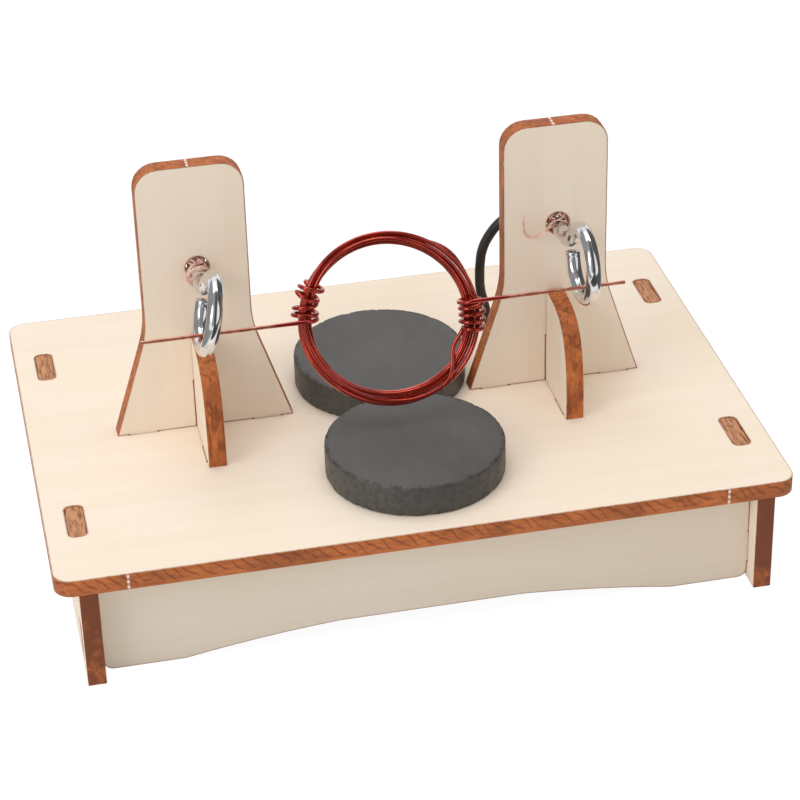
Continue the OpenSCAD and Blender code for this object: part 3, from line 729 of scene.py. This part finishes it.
# %% Bend one eye
wire_r = 1.25
ring_r = 5.85
neck_r = 6.0
neck_y = math.sqrt(ring_r**2 + 2 * ring_r * neck_r)
neck_deg = math.degrees(math.atan2(neck_r, neck_y))
open_deg = 8.5


def edges_of(geometry):
    return [g for g in geometry if isinstance(g, bmesh.types.BMEdge)]


def turn_all(bm, degrees, about):
    around = Matrix.Rotation(math.radians(degrees), 3, about)
    bmesh.ops.rotate(bm, cent=(0, 0, 0), matrix=around, verts=bm.verts)
    return around


def bend(bm, edges, centre, degrees, steps, about=(1, 0, 0)):
    """Swings edges about a centre, leaves their faces behind them, and gives the edges' last place."""
    angle = math.radians(degrees)
    made = bmesh.ops.spin(bm, geom=edges, cent=centre, axis=about, angle=angle, steps=steps)
    return edges_of(made["geom_last"])


def draw_out(bm, edges, by):
    made = bmesh.ops.extrude_edge_only(bm, edges=edges)["geom"]
    move(bm, by, verts_of(made))
    return edges_of(made)


def bent_wire(shank_y):
    """The ring, the neck and the plain part of the shank, which ends at shank_y."""
    bm = bmesh.new()
    bmesh.ops.create_circle(bm, segments=32, radius=wire_r)
    move(bm, (0, ring_r, 0))
    opening = turn_all(bm, -open_deg, "X")
    start = list(bm.edges)
    dome = start
    middle = opening @ spot(0, ring_r, 0)
    ahead = opening @ spot(0, 0, 1)
    for height, width in ((0.12, 0.97), (0.24, 0.88), (0.33, 0.66), (0.37, 0.3)):
        made = bmesh.ops.extrude_edge_only(bm, edges=dome)["geom"]
        for v in verts_of(made):
            flat = v.co - middle
            flat -= ahead * flat.dot(ahead)
            v.co = middle + flat.normalized() * wire_r * width + ahead * height
        dome = edges_of(made)
    bmesh.ops.holes_fill(bm, edges=dome, sides=0)
    last = bend(bm, start, (0, 0, 0), -(360 - open_deg - neck_deg), 96)
    last = bend(bm, last, (0, neck_y, neck_r), 90 - neck_deg, 14)
    last = draw_out(bm, last, (0, shank_y - neck_y, 0))
    bmesh.ops.holes_fill(bm, edges=last, sides=0)
    return bm


def add_thread(bm, start_y, tip_y):
    """A rolled thread with a point, on the same axis as the shank."""
    core = 1.02
    crest = 1.35
    pitch = 0.95
    turns = 7
    steps = 26
    point_length = 2.6
    saw = [(core, 0), (core, 0.42), (crest, 0.62), (crest, 0.7), (core, 0.92), (core, 1)]
    verts = [bm.verts.new((r, start_y + p * pitch, 0)) for r, p in saw]
    edges = [bm.edges.new(pair) for pair in zip(verts, verts[1:])]
    before = set(bm.verts) - set(verts)
    bmesh.ops.spin(
        bm, geom=edges, cent=(0, 0, 0), axis=(0, 1, 0), dvec=(0, pitch / steps, 0),
        angle=math.radians(360 * turns), steps=steps * turns,
    )
    thread = [v for v in bm.verts if v not in before]
    longest = max(v.co.y for v in thread)
    for v in thread:
        along = (v.co.y - start_y) / (longest - start_y)
        v.co.y = start_y + along * (tip_y - start_y)
        taper = min(1.0, (tip_y - v.co.y) / point_length + 0.06)
        v.co.x *= taper
        v.co.z *= taper
    bmesh.ops.remove_doubles(bm, verts=thread, dist=0.004)
    loose = [e for e in bm.edges if e.is_boundary and min(v.co.y for v in e.verts) > start_y - 0.1]
    bmesh.ops.holes_fill(bm, edges=loose, sides=0)


print("the neck turns", round(90 - neck_deg, 1), "degrees and starts", round(neck_y, 2), "mm behind the ring")

# %% [markdown]
# The two eyes aren't screwed in alike. The left one reaches 0.9 mm further forward and has stopped 13 degrees
# short of upright. Both were fitted to the photo, and both rings carry the same straight axle.

# %% Two screw eyes
half_sheet = 1.5
post_y = 0.25
thread_length = 7


def screw_eye(side, reach, turn, roll):
    """An eye whose ring stands reach before the post. It is rolled about its shank, then turned aside."""
    bm = bent_wire(reach + 0.3)
    add_thread(bm, reach + 0.1, reach + thread_length)
    bmesh.ops.remove_doubles(bm, verts=bm.verts, dist=0.001)
    face_outwards(bm)
    move(bm, (0, -reach - half_sheet, 0))
    turn_all(bm, roll, "Y")
    turn_all(bm, turn, "Z")
    x, z = shanks[side]
    move(bm, (x, post_y, z))
    dress(into_mesh(side + "_eye_bent", bm, 50), chrome, "chrome", side + "_eye")


screw_eye("left", reach=15.1, turn=-1.8, roll=13)
screw_eye("right", reach=14.2, turn=1.5, roll=0)

# %% [markdown]
# ## Magnets
# The two discs are sintered ferrite: dark, hard and brittle, with a satin face and a rim that chips. A disc
# is extruded from a filled circle and its rims are bevelled. Then the rim's points are nudged by a noise
# value, so that no two chips are alike and the outline stays round.

# %% Ferrite
paint = Paint("ferrite")
fine = paint.cloud(4.5, 4.0, 0.6)
broad = paint.cloud(0.07, 3.0, 0.5)
rubbed = paint.cloud((0.5, 0.12, 0.5), 3.0, 0.55)
chips = paint.worn("rim") * paint.cloud(0.9, 4.0, 0.7).above(0.52, 0.12)
grey = paint.mix(broad.above(0.5, 0.5), tone(77, 76, 74), tone(70, 68, 66))
marked = paint.mix(rubbed.above(0.6, 0.4) * 0.25, grey, tone(94, 92, 89))
speckled = paint.mix(fine.above(0.68, 0.14) * 0.07, marked, tone(112, 108, 103))
ferrite = paint.finish(
    Base_Color=paint.mix(chips * 0.8, speckled, tone(48, 45, 42)),
    Roughness=0.4 + broad * 0.14 + chips * 0.2,
    Normal=paint.bump(fine, 0.01, 0.3),
)
disc_r = 15
disc_h = 5.5
board_top = 20.5
worn_width = 0.9
worn_height = 0.7
chip_depth = 0.5
chip_drop = 0.25


def disc_magnet(name, x, y, seed):
    """A disc. Its points' number, rim, says how near they are to an edge that chips."""
    bm = bmesh.new()
    bmesh.ops.create_circle(bm, cap_ends=True, segments=180, radius=disc_r)
    for step in (0.9, 1.2, 4.0, 6.0):
        middle_face = max(bm.faces, key=lambda f: len(f.verts))
        bmesh.ops.inset_region(
            bm, faces=[middle_face], thickness=step, use_boundary=True, use_even_offset=True
        )
    made = bmesh.ops.extrude_face_region(bm, geom=list(bm.faces))["geom"]
    move(bm, (0, 0, disc_h), verts_of(made))
    face_outwards(bm)
    round_off(bm, [e for e in bm.edges if e.calc_face_angle(0) > 1], 0.4, 4)
    layer = bm.verts.layers.float.new("rim")
    for v in bm.verts:
        out = v.co.xy.length
        near_rim = max(0.0, min(1.0, (out - disc_r + worn_width) / 0.5))
        near_face = max(0.0, 1 - min(v.co.z, disc_h - v.co.z) / worn_height)
        worn = near_rim * near_face
        v[layer] = worn
        chip = abs(noise.noise(v.co * 0.9 + spot(seed, 0, 0))) ** 1.5
        v.co.xy -= v.co.xy.normalized() * worn * chip * chip_depth
        v.co.z += (disc_h / 2 - v.co.z) / (disc_h / 2) * worn * chip * chip_drop
    move(bm, (x, y, board_top))
    dress(into_mesh(name + "_disc", bm), ferrite, "ferrite", name)


disc_magnet("front_magnet", 1.04, -23.25, 3)
disc_magnet("rear_magnet", 1.36, 7.05, 11)

# %% [markdown]
# ## The coil
# The coil is a single length of enamelled wire: wound six times and a half round a tube, then wrapped
# round its own bundle on each side to hold it, and led straight out as the axle. It is made the same way
# here, as one path. One loop lies in the middle of the bundle and the others round it, and each moves on by
# one place in a loop, which gives the shallow crossings. A hand-wound coil is never quite even: its strands
# lie close at the upper left and stand apart on the right and below, and they sway as they go.

# %% The coil's own directions
axle = spot(0, -15.9, 46.374)
lean = 12
across = spot(1, 0, 0)
upward = spot(0, sin(lean), cos(lean))
forward = across.cross(upward)
bundle_r = 13.92
coil_x = -0.9
coil_drop = 1.9
coil_back = 2.3
coil_c = spot(coil_x, axle.y, axle.z) - upward * coil_drop - forward * coil_back
copper_r = 0.3


def loop_r(deg):
    return bundle_r * (1 + 0.03 * cos(2 * (deg - 140)))


def on_loop(deg, reach, place):
    """A point at deg round the loop, at reach and place round the middle of the bundle."""
    out = across * cos(deg) + upward * sin(deg)
    return coil_c + out * (loop_r(deg) + reach * cos(place)) + forward * reach * sin(place)


mm_deg = 360 / (math.tau * bundle_r)
print("one millimetre of the bundle is", round(mm_deg, 2), "degrees; the middle is at", coil_c)

# %% Wind the coil
left_low = 180 - math.degrees(math.asin(coil_drop / loop_r(170)))
right_low = 360 + math.degrees(math.asin(coil_drop / loop_r(0)))
left_binding = 5.4
right_binding = 5.3
left_top = left_low - left_binding * mm_deg
right_top = right_low - right_binding * mm_deg
inner_loops = 1
all_loops = 6
first_deg = left_top
last_deg = right_top + 360 * all_loops


def spread(deg):
    """How far the outer strands lie from the bundle's middle."""
    return 0.82 - 0.12 * cos(deg - 150)


def strand_place(deg):
    """Where an outer strand lies round the bundle: one place further in each loop, with some sway."""
    gone = (deg - first_deg) / 360 - inner_loops
    low_down = 0.5 - 0.5 * sin(deg)
    sway = math.sin(math.radians(deg * 0.71) + 1.0) + 0.7 * math.sin(math.radians(deg * 0.37) + 0.3)
    common = 50 * sin(deg + 200) + 24 * sin(2 * deg + 30)
    return 66 * gone + 20 + common + (10 + 20 * low_down) * sway


def hump(off, width):
    return math.exp(-((off / width) ** 2))


def winding():
    """The loops from the left binding to the right one, which the last strand meets from inside.

    The last loop bulges out at its upper right, and strays from the bundle just before it ends.
    """
    path = []
    count = int((last_deg - first_deg) / 4)
    inside = 180 + 360 * round((strand_place(last_deg) - 180) / 360)
    for i in range(count + 1):
        deg = blend(first_deg, last_deg, i / count)
        outer = ease(((deg - first_deg) / 360 - inner_loops + 0.02) / 0.12)
        lift = 0.1 * math.sin(math.radians(deg * 0.53) + 2.0)
        bulge = 0.9 * hump(deg - last_deg + 360 - 58, 16)
        reach = blend(0.1, spread(deg) + lift + bulge, outer)
        place = blend(60, strand_place(deg), outer)
        leaving = ease((deg - last_deg + 50) / 34)
        stray = 1.3 + 0.85 * hump(deg - last_deg + 15, 11)
        path.append(on_loop(deg, blend(reach, stray, leaving), blend(place, inside, leaving)))
    return path


def finer(turns, steps=5):
    """More rows between the given ones, so that a binding turn is round."""
    made = []
    for a, b in zip(turns, turns[1:]):
        for i in range(steps):
            made.append([blend(x, y, i / steps) for x, y in zip(a, b)])
    made.append(list(turns[-1]))
    return made


loops = winding()
print("loops:", all_loops, "and a half, with", len(loops), "points")

# %% [markdown]
# Each row of a binding has three numbers: how far it is from the axle along the bundle, where it is round the
# bundle, and how far out. On the left there are two tight turns, a gap, a crossed turn and a loose bend. On
# the right the turns lie close, and come in from the inside of the bundle.

# %% Bindings and axle
left_rows = [
    (0, 90, 2.3), (0.1, 170, 2.1), (0.3, 270, 1.7), (0.5, 360, 1.95), (0.8, 450, 1.62),
    (1.0, 540, 2.1), (1.2, 630, 1.7), (1.5, 720, 1.85), (2.1, 810, 1.55), (2.9, 900, 1.75),
    (3.4, 990, 1.6), (3.9, 1080, 1.95), (3.3, 1170, 1.6), (3.5, 1260, 1.85), (4.3, 1350, 1.55),
    (4.8, 1440, 1.85), (5.1, 1530, 1.6), (5.6, 1620, 2.05), (5.6, 1700, 1.7), (5.6, 1760, 1.3),
    (5.45, 1820, 0.5),
]
left_turns = [on_loop(left_low - h * mm_deg, r, p) for h, p, r in finer(left_rows)]

tight = 1.66
right_rows = []
count = 56
for i in range(count + 1):
    t = i / count
    place = 90 + (90 + 360 * 4) * (1 - t)
    hug = tight + 0.3 * cos(place) ** 2
    reach = blend(1.3, hug, ease(t / 0.06)) + (2.3 - tight) * ease((t - 0.95) / 0.05)
    right_rows.append((right_binding - right_binding * max(0.0, t - 0.03) / 0.97, place, reach))
right_turns = [on_loop(right_low - h * mm_deg, r, p) for h, p, r in finer(right_rows, 4)]

axle_left = [spot(x, axle.y, axle.z) for x in (-42, -36, -28, -22, left_turns[0].x - 1.2)]
axle_right = [spot(x, axle.y, axle.z) for x in (right_turns[-1].x + 1.2, 22, 28, 33, 38.8)]
whole = axle_left + left_turns + loops + right_turns + axle_right
print("coil path:", len(whole), "points,", round(length_of(whole)), "mm of wire")

# %% Enamelled wire
scraped_from = 19.5
fades_over = 2
paint = Paint("enamelled copper")
off_centre = abs(paint.part("x") - coil_x)
patchy = paint.cloud(0.5, 3.0, 0.6)
scraped = (off_centre + (patchy - 0.5) * 5).above(scraped_from, 2.2)
thick = paint.cloud(0.16, 2.0, 0.5)
enamel = paint.mix(thick.above(0.5, 0.4), tone(202, 58, 33), tone(162, 38, 21))
bare = paint.mix(patchy.above(0.5, 0.3), tone(222, 160, 138), tone(186, 112, 92))
enamelled = paint.finish(
    Base_Color=paint.mix(scraped, enamel, bare),
    Metallic=0.76 + scraped * 0.2,
    Roughness=0.12 + scraped * 0.2 + patchy * 0.05,
    Coat_Weight=(1 - scraped) * 0.9,
    Coat_Roughness=0.06,
    Normal=paint.bump(patchy, 0.02, 0.2),
)


def coated(point):
    """The enamel makes the wire a little thicker, up to where it is scraped off for the axle."""
    off_centre = abs(point.x - coil_x)
    return blend(1.22, 1.0, ease((off_centre - scraped_from + fades_over) / fades_over))


coil = wire("wound_coil", [whole], copper_r, sides=4, swell=coated)
dress(coil, enamelled, "copper_wire", "coil", body="rotor")

# %% [markdown]
# ## The cell and its holder
# Nothing of the current source shows in the photo, so it is under the table: one round cell in an open
# plastic holder, stuck to the board with foam. The holder is moulded, so its edges are slightly round and
# its surface has a fine grain. Its CAD solid has the right walls, and a copy gets the moulded edges.

# %% Moulded and pressed copies
def sharp_edges(bm):
    return [e for e in bm.edges if e.calc_face_angle(0) > math.radians(40)]


def softened(node, radius, segments=3):
    """A merged copy of a CAD solid with rounded edges."""
    bm = merged_copy(node)
    bmesh.ops.dissolve_limit(bm, angle_limit=math.radians(1), verts=bm.verts, edges=bm.edges)
    round_off(bm, sharp_edges(bm), radius, segments)
    return bm


paint = Paint("black moulded plastic")
texture = paint.cloud(4.0, 4.0, 0.6)
flow = paint.cloud((0.05, 0.4, 0.4), 3.0, 0.5)
plastic = paint.finish(
    Base_Color=paint.mix(flow.above(0.5, 0.4) * 0.6, tone(30, 30, 32), tone(44, 44, 47)),
    Roughness=0.42 + texture * 0.15,
    Normal=paint.bump(texture, 0.04, 0.5),
)

moulding = into_mesh("holder_moulding", softened("holder", 0.2))
dress(moulding, plastic, "black_plastic", "holder")

# %% Foam pad
paint = Paint("white foam")
cells = paint.grains(2.2)
shade = paint.cloud(0.4, 3.0, 0.6)
foam = paint.finish(
    Base_Color=paint.mix(shade, tone(244, 243, 238), tone(226, 224, 216)),
    Roughness=0.9,
    Normal=paint.bump(cells, 0.15, 0.6),
)

pad = into_mesh("foam_pad_sheet", softened("holder_pad", 0.15))
dress(pad, foam, "foam", "holder_pad")

# %% Contacts and the spring
paint = Paint("nickel plated spring steel")
brushed = paint.cloud((3, 3, 0.25), 3.0, 0.6)
nickel = paint.finish(
    Base_Color=paint.mix(brushed.above(0.5, 0.5), tone(204, 201, 194), tone(176, 172, 164)),
    Metallic=1.0,
    Roughness=0.2 + brushed * 0.18,
    Normal=paint.bump(brushed, 0.02, 0.3),
)
plate = into_mesh("plate_contact_pressing", softened("plate_contact", 0.06, 2))
dress(plate, nickel, "contact_steel", "plate_contact")

cell_y = 22
cell_z = 8.25
spring_x = 27.3
spring_turns = 2.5
spring_rows = []
count = 140
for i in range(count + 1):
    t = i / count
    angle = math.tau * spring_turns * t
    r = 4.2 - 1.8 * t
    climb = 0.6 + 2.65 * ease(t * 0.5) * 2
    spring_rows.append(spot(spring_x - climb, cell_y + r * math.sin(angle), cell_z + r * math.cos(angle)))
foot = [spot(spring_x + 0.02, cell_y, 12.45), spot(spring_x - 0.3, cell_y, 12.5)]
spring = wire("contact_spring", [foot + spring_rows], 0.3, sides=3)
print("spring reaches from", spring_x, "to", round(min(p.x for p in spring_rows), 2))

# %% [markdown]
# The spring stands on a strip of the same metal. The two are one CAD solid, so both pieces replace it. The
# strip is two thin plates: one stands behind the spring, with a raised middle, and one lies through the
# holder's end as the solder tag.

# %% Strip behind the spring
def thin_plate(bm, size, centre):
    verts = bmesh.ops.create_cube(bm, size=1)["verts"]
    bmesh.ops.scale(bm, vec=size, verts=verts)
    move(bm, centre, verts)


bm = bmesh.new()
thin_plate(bm, (0.4, 6, 11.4), (27.5, cell_y, 9.7))
inner_face = min(bm.faces, key=lambda f: f.calc_center_median().x)
bmesh.ops.inset_region(bm, faces=[inner_face], thickness=0.9, depth=0)
move(bm, (-0.12, 0, 0), inner_face.verts)
thin_plate(bm, (4.4, 3, 0.4), (29.7, cell_y, tag_end.z))
round_off(bm, sharp_edges(bm), 0.06, 2)
strip = into_mesh("spring_strip", bm)
for piece in (spring, strip):
    dress(piece, nickel, "contact_steel", "spring_contact")

# %% [markdown]
# The cell is a drawn can in a shrunk plastic jacket. Its section is drawn once, from the button to the base,
# and spun round the long axis. The jacket folds over at both ends, where the bare metal shows inside it.

# %% The cell
paint = Paint("cell jacket")
wrinkle = paint.cloud((0.25, 1.6, 1.6), 3.0, 0.55)
band = paint.part("x").above(14.5, 0.15)
metal = paint.worn("metal").above(0.5, 0.1)
body = paint.mix(band, tone(58, 74, 96), tone(176, 180, 184))
jacket = paint.finish(
    Base_Color=paint.mix(metal, body, tone(198, 197, 192)),
    Metallic=0.25 + metal * 0.75,
    Roughness=0.26 + wrinkle * 0.12,
    Normal=paint.bump(wrinkle, 0.04, 0.35),
)

cell_x = -26.8
section = [
    (0, 0.01, 1), (0, 2.3, 1), (0.12, 2.6, 1), (0.4, 2.75, 1), (1.3, 2.75, 1), (1.45, 2.9, 1),
    (1.5, 5.3, 1), (1.35, 5.8, 1), (1.2, 6.0, 0), (1.15, 6.45, 0), (1.3, 6.85, 0), (1.75, 7.1, 0),
    (10, 7.1, 0), (25, 7.1, 0), (40, 7.1, 0), (49.9, 7.1, 0), (50.25, 6.95, 0), (50.45, 6.6, 0),
    (50.4, 6.1, 0), (50.2, 5.9, 1), (50.15, 5.2, 1), (50.4, 4.8, 1), (50.5, 4.4, 1), (50.5, 0.01, 1),
]
bm = bmesh.new()
metal = bm.verts.layers.float.new("metal")
rows = []
for along, radius, is_metal in section:
    v = bm.verts.new((cell_x + along, 0, radius))
    v[metal] = is_metal
    rows.append(v)
line = [bm.edges.new(pair) for pair in zip(rows, rows[1:])]
bmesh.ops.spin(
    bm, geom=line, cent=(0, 0, 0), axis=(1, 0, 0), angle=math.tau, steps=72, use_merge=True
)
bmesh.ops.remove_doubles(bm, verts=bm.verts, dist=0.02)
face_outwards(bm)
move(bm, (0, cell_y, cell_z))
dress(into_mesh("round_cell", bm, 40), jacket, "cell_jacket", "cell")

# %% [markdown]
# ## Floor, background and light
# The photo is a cut-out: white all round, with soft light from above and from the left. The floor is a large
# pale plane. For the camera and for mirrors it mostly glows, so that it reads as white while it still takes
# the shadow. The world does the same. Light Path tells the shader which kind of ray is asking.

# %% Floor
def seen_or_mirrored(paint):
    """1 for a ray from the camera, off a shiny surface or through a clear one, and 0 for any other."""
    camera_ray, glossy_ray, clear_ray = (
        paint.node("LightPath", {}, {}, f"Is {kind} Ray") for kind in ("Camera", "Glossy", "Transmission")
    )
    return camera_ray + glossy_ray + clear_ray


def stand_in_studio(name, bm, paint):
    """A piece of the studio, which isn't part of the motor."""
    thing = into_mesh(name, bm)
    thing.data.materials.append(paint.material)
    into_scene(thing)
    return thing


paint = Paint("studio floor")
card = paint.node("BsdfDiffuse", {}, {"Color": tone(236, 236, 236)})
glow = paint.node("Emission", {}, {"Color": tone(255, 255, 255), "Strength": 1.1})
paint.close(paint.node("MixShader", {}, {0: seen_or_mirrored(paint) * 0.86, 1: card, 2: glow}))

bm = bmesh.new()
bmesh.ops.create_grid(bm, x_segments=8, y_segments=8, size=1500)
move(bm, (0, 0, -0.05))
stand_in_studio("studio_floor", bm, paint)

# %% Room
room = Paint("room")
world = bpy.data.worlds.new("soft room")
world.use_nodes = True
world.node_tree.nodes.clear()
room.tree = world.node_tree
dim = room.node("Background", {}, {"Color": tone(255, 252, 248), "Strength": 0.58})
white = room.node("Background", {}, {"Color": tone(255, 255, 255), "Strength": 1.0})
both = room.node("MixShader", {}, {0: seen_or_mirrored(room), 1: dim, 2: white})
out = world.node_tree.nodes.new("ShaderNodeOutputWorld")
world.node_tree.links.new(both.socket, out.inputs["Surface"])
bpy.context.scene.world = world
bpy.data.materials.remove(room.material)
print("floor and room ready")

# %% [markdown]
# Two square lamps model the shapes. Bright metal is another matter: it shows only what stands round it, and
# in a white room it would look like white plastic. A product photographer sets dark cards round it. Four
# grey ones do that here: one in front, with a paler one behind it as its margin, and one on each side.
# Only mirrors see them, so they take no light away and stay out of the picture.

# %% Lamps
lamps_aim = spot(0, 0, 30)


def soft_lamp(name, where, size, watts):
    data = bpy.data.lights.new(name, "AREA")
    data.shape = "SQUARE"
    data.size = size * MM
    data.energy = watts
    lamp = bpy.data.objects.new(name, data)
    lamp.location = where * MM
    lamp.rotation_mode = "QUATERNION"
    lamp.rotation_quaternion = (lamps_aim - where).to_track_quat("-Z", "Y")
    into_scene(lamp)


soft_lamp("overhead softbox", spot(-20, 20, 900), 640, 3.35)
soft_lamp("left softbox", spot(-680, -400, 480), 480, 2.3)
print("two lamps")

# %% Grey cards for the bright metal
def mirror_card(name, grey, ends, about, degrees, turn=0, apron=None):
    """A line between two points, drawn out to an apron if need be, and swung to a curved card."""
    paint = Paint(name)
    paint.close(paint.node("Emission", {}, {"Color": tone(grey, grey, grey), "Strength": 1.0}))
    bm = bmesh.new()
    first, last = (bm.verts.new(end) for end in ends)
    edges = [bm.edges.new((first, last))]
    if apron:
        edges = draw_out(bm, edges, apron)
    bend(bm, edges, (0, 0, 0), degrees, 24, about)
    turn_all(bm, turn, "Z")
    move(bm, (0, 0, 40))
    thing = stand_in_studio(name, bm, paint)
    for kind in ("camera", "diffuse", "transmission", "volume_scatter", "shadow"):
        setattr(thing, "visible_" + kind, False)


low = -39.6
front = [(-60, -80, low), (240, -80, low)]
margin = [(-430, -700, 0), (430, -700, 0)]
on_left = [(-90, -250, low), (-90, 600, low)]
on_right = [(90, -330, low), (90, 600, low)]
mirror_card("front_card", 72, front, (-1, 0, 0), 92, turn=-4, apron=(0, -560, 0))
mirror_card("front_card_margin", 156, margin, (-1, 0, 0), 90, turn=-4)
mirror_card("left_card", 150, on_left, (0, 1, 0), 66, apron=(-560, 0, 0))
mirror_card("right_card", 92, on_right, (0, -1, 0), 66, apron=(560, 0, 0))
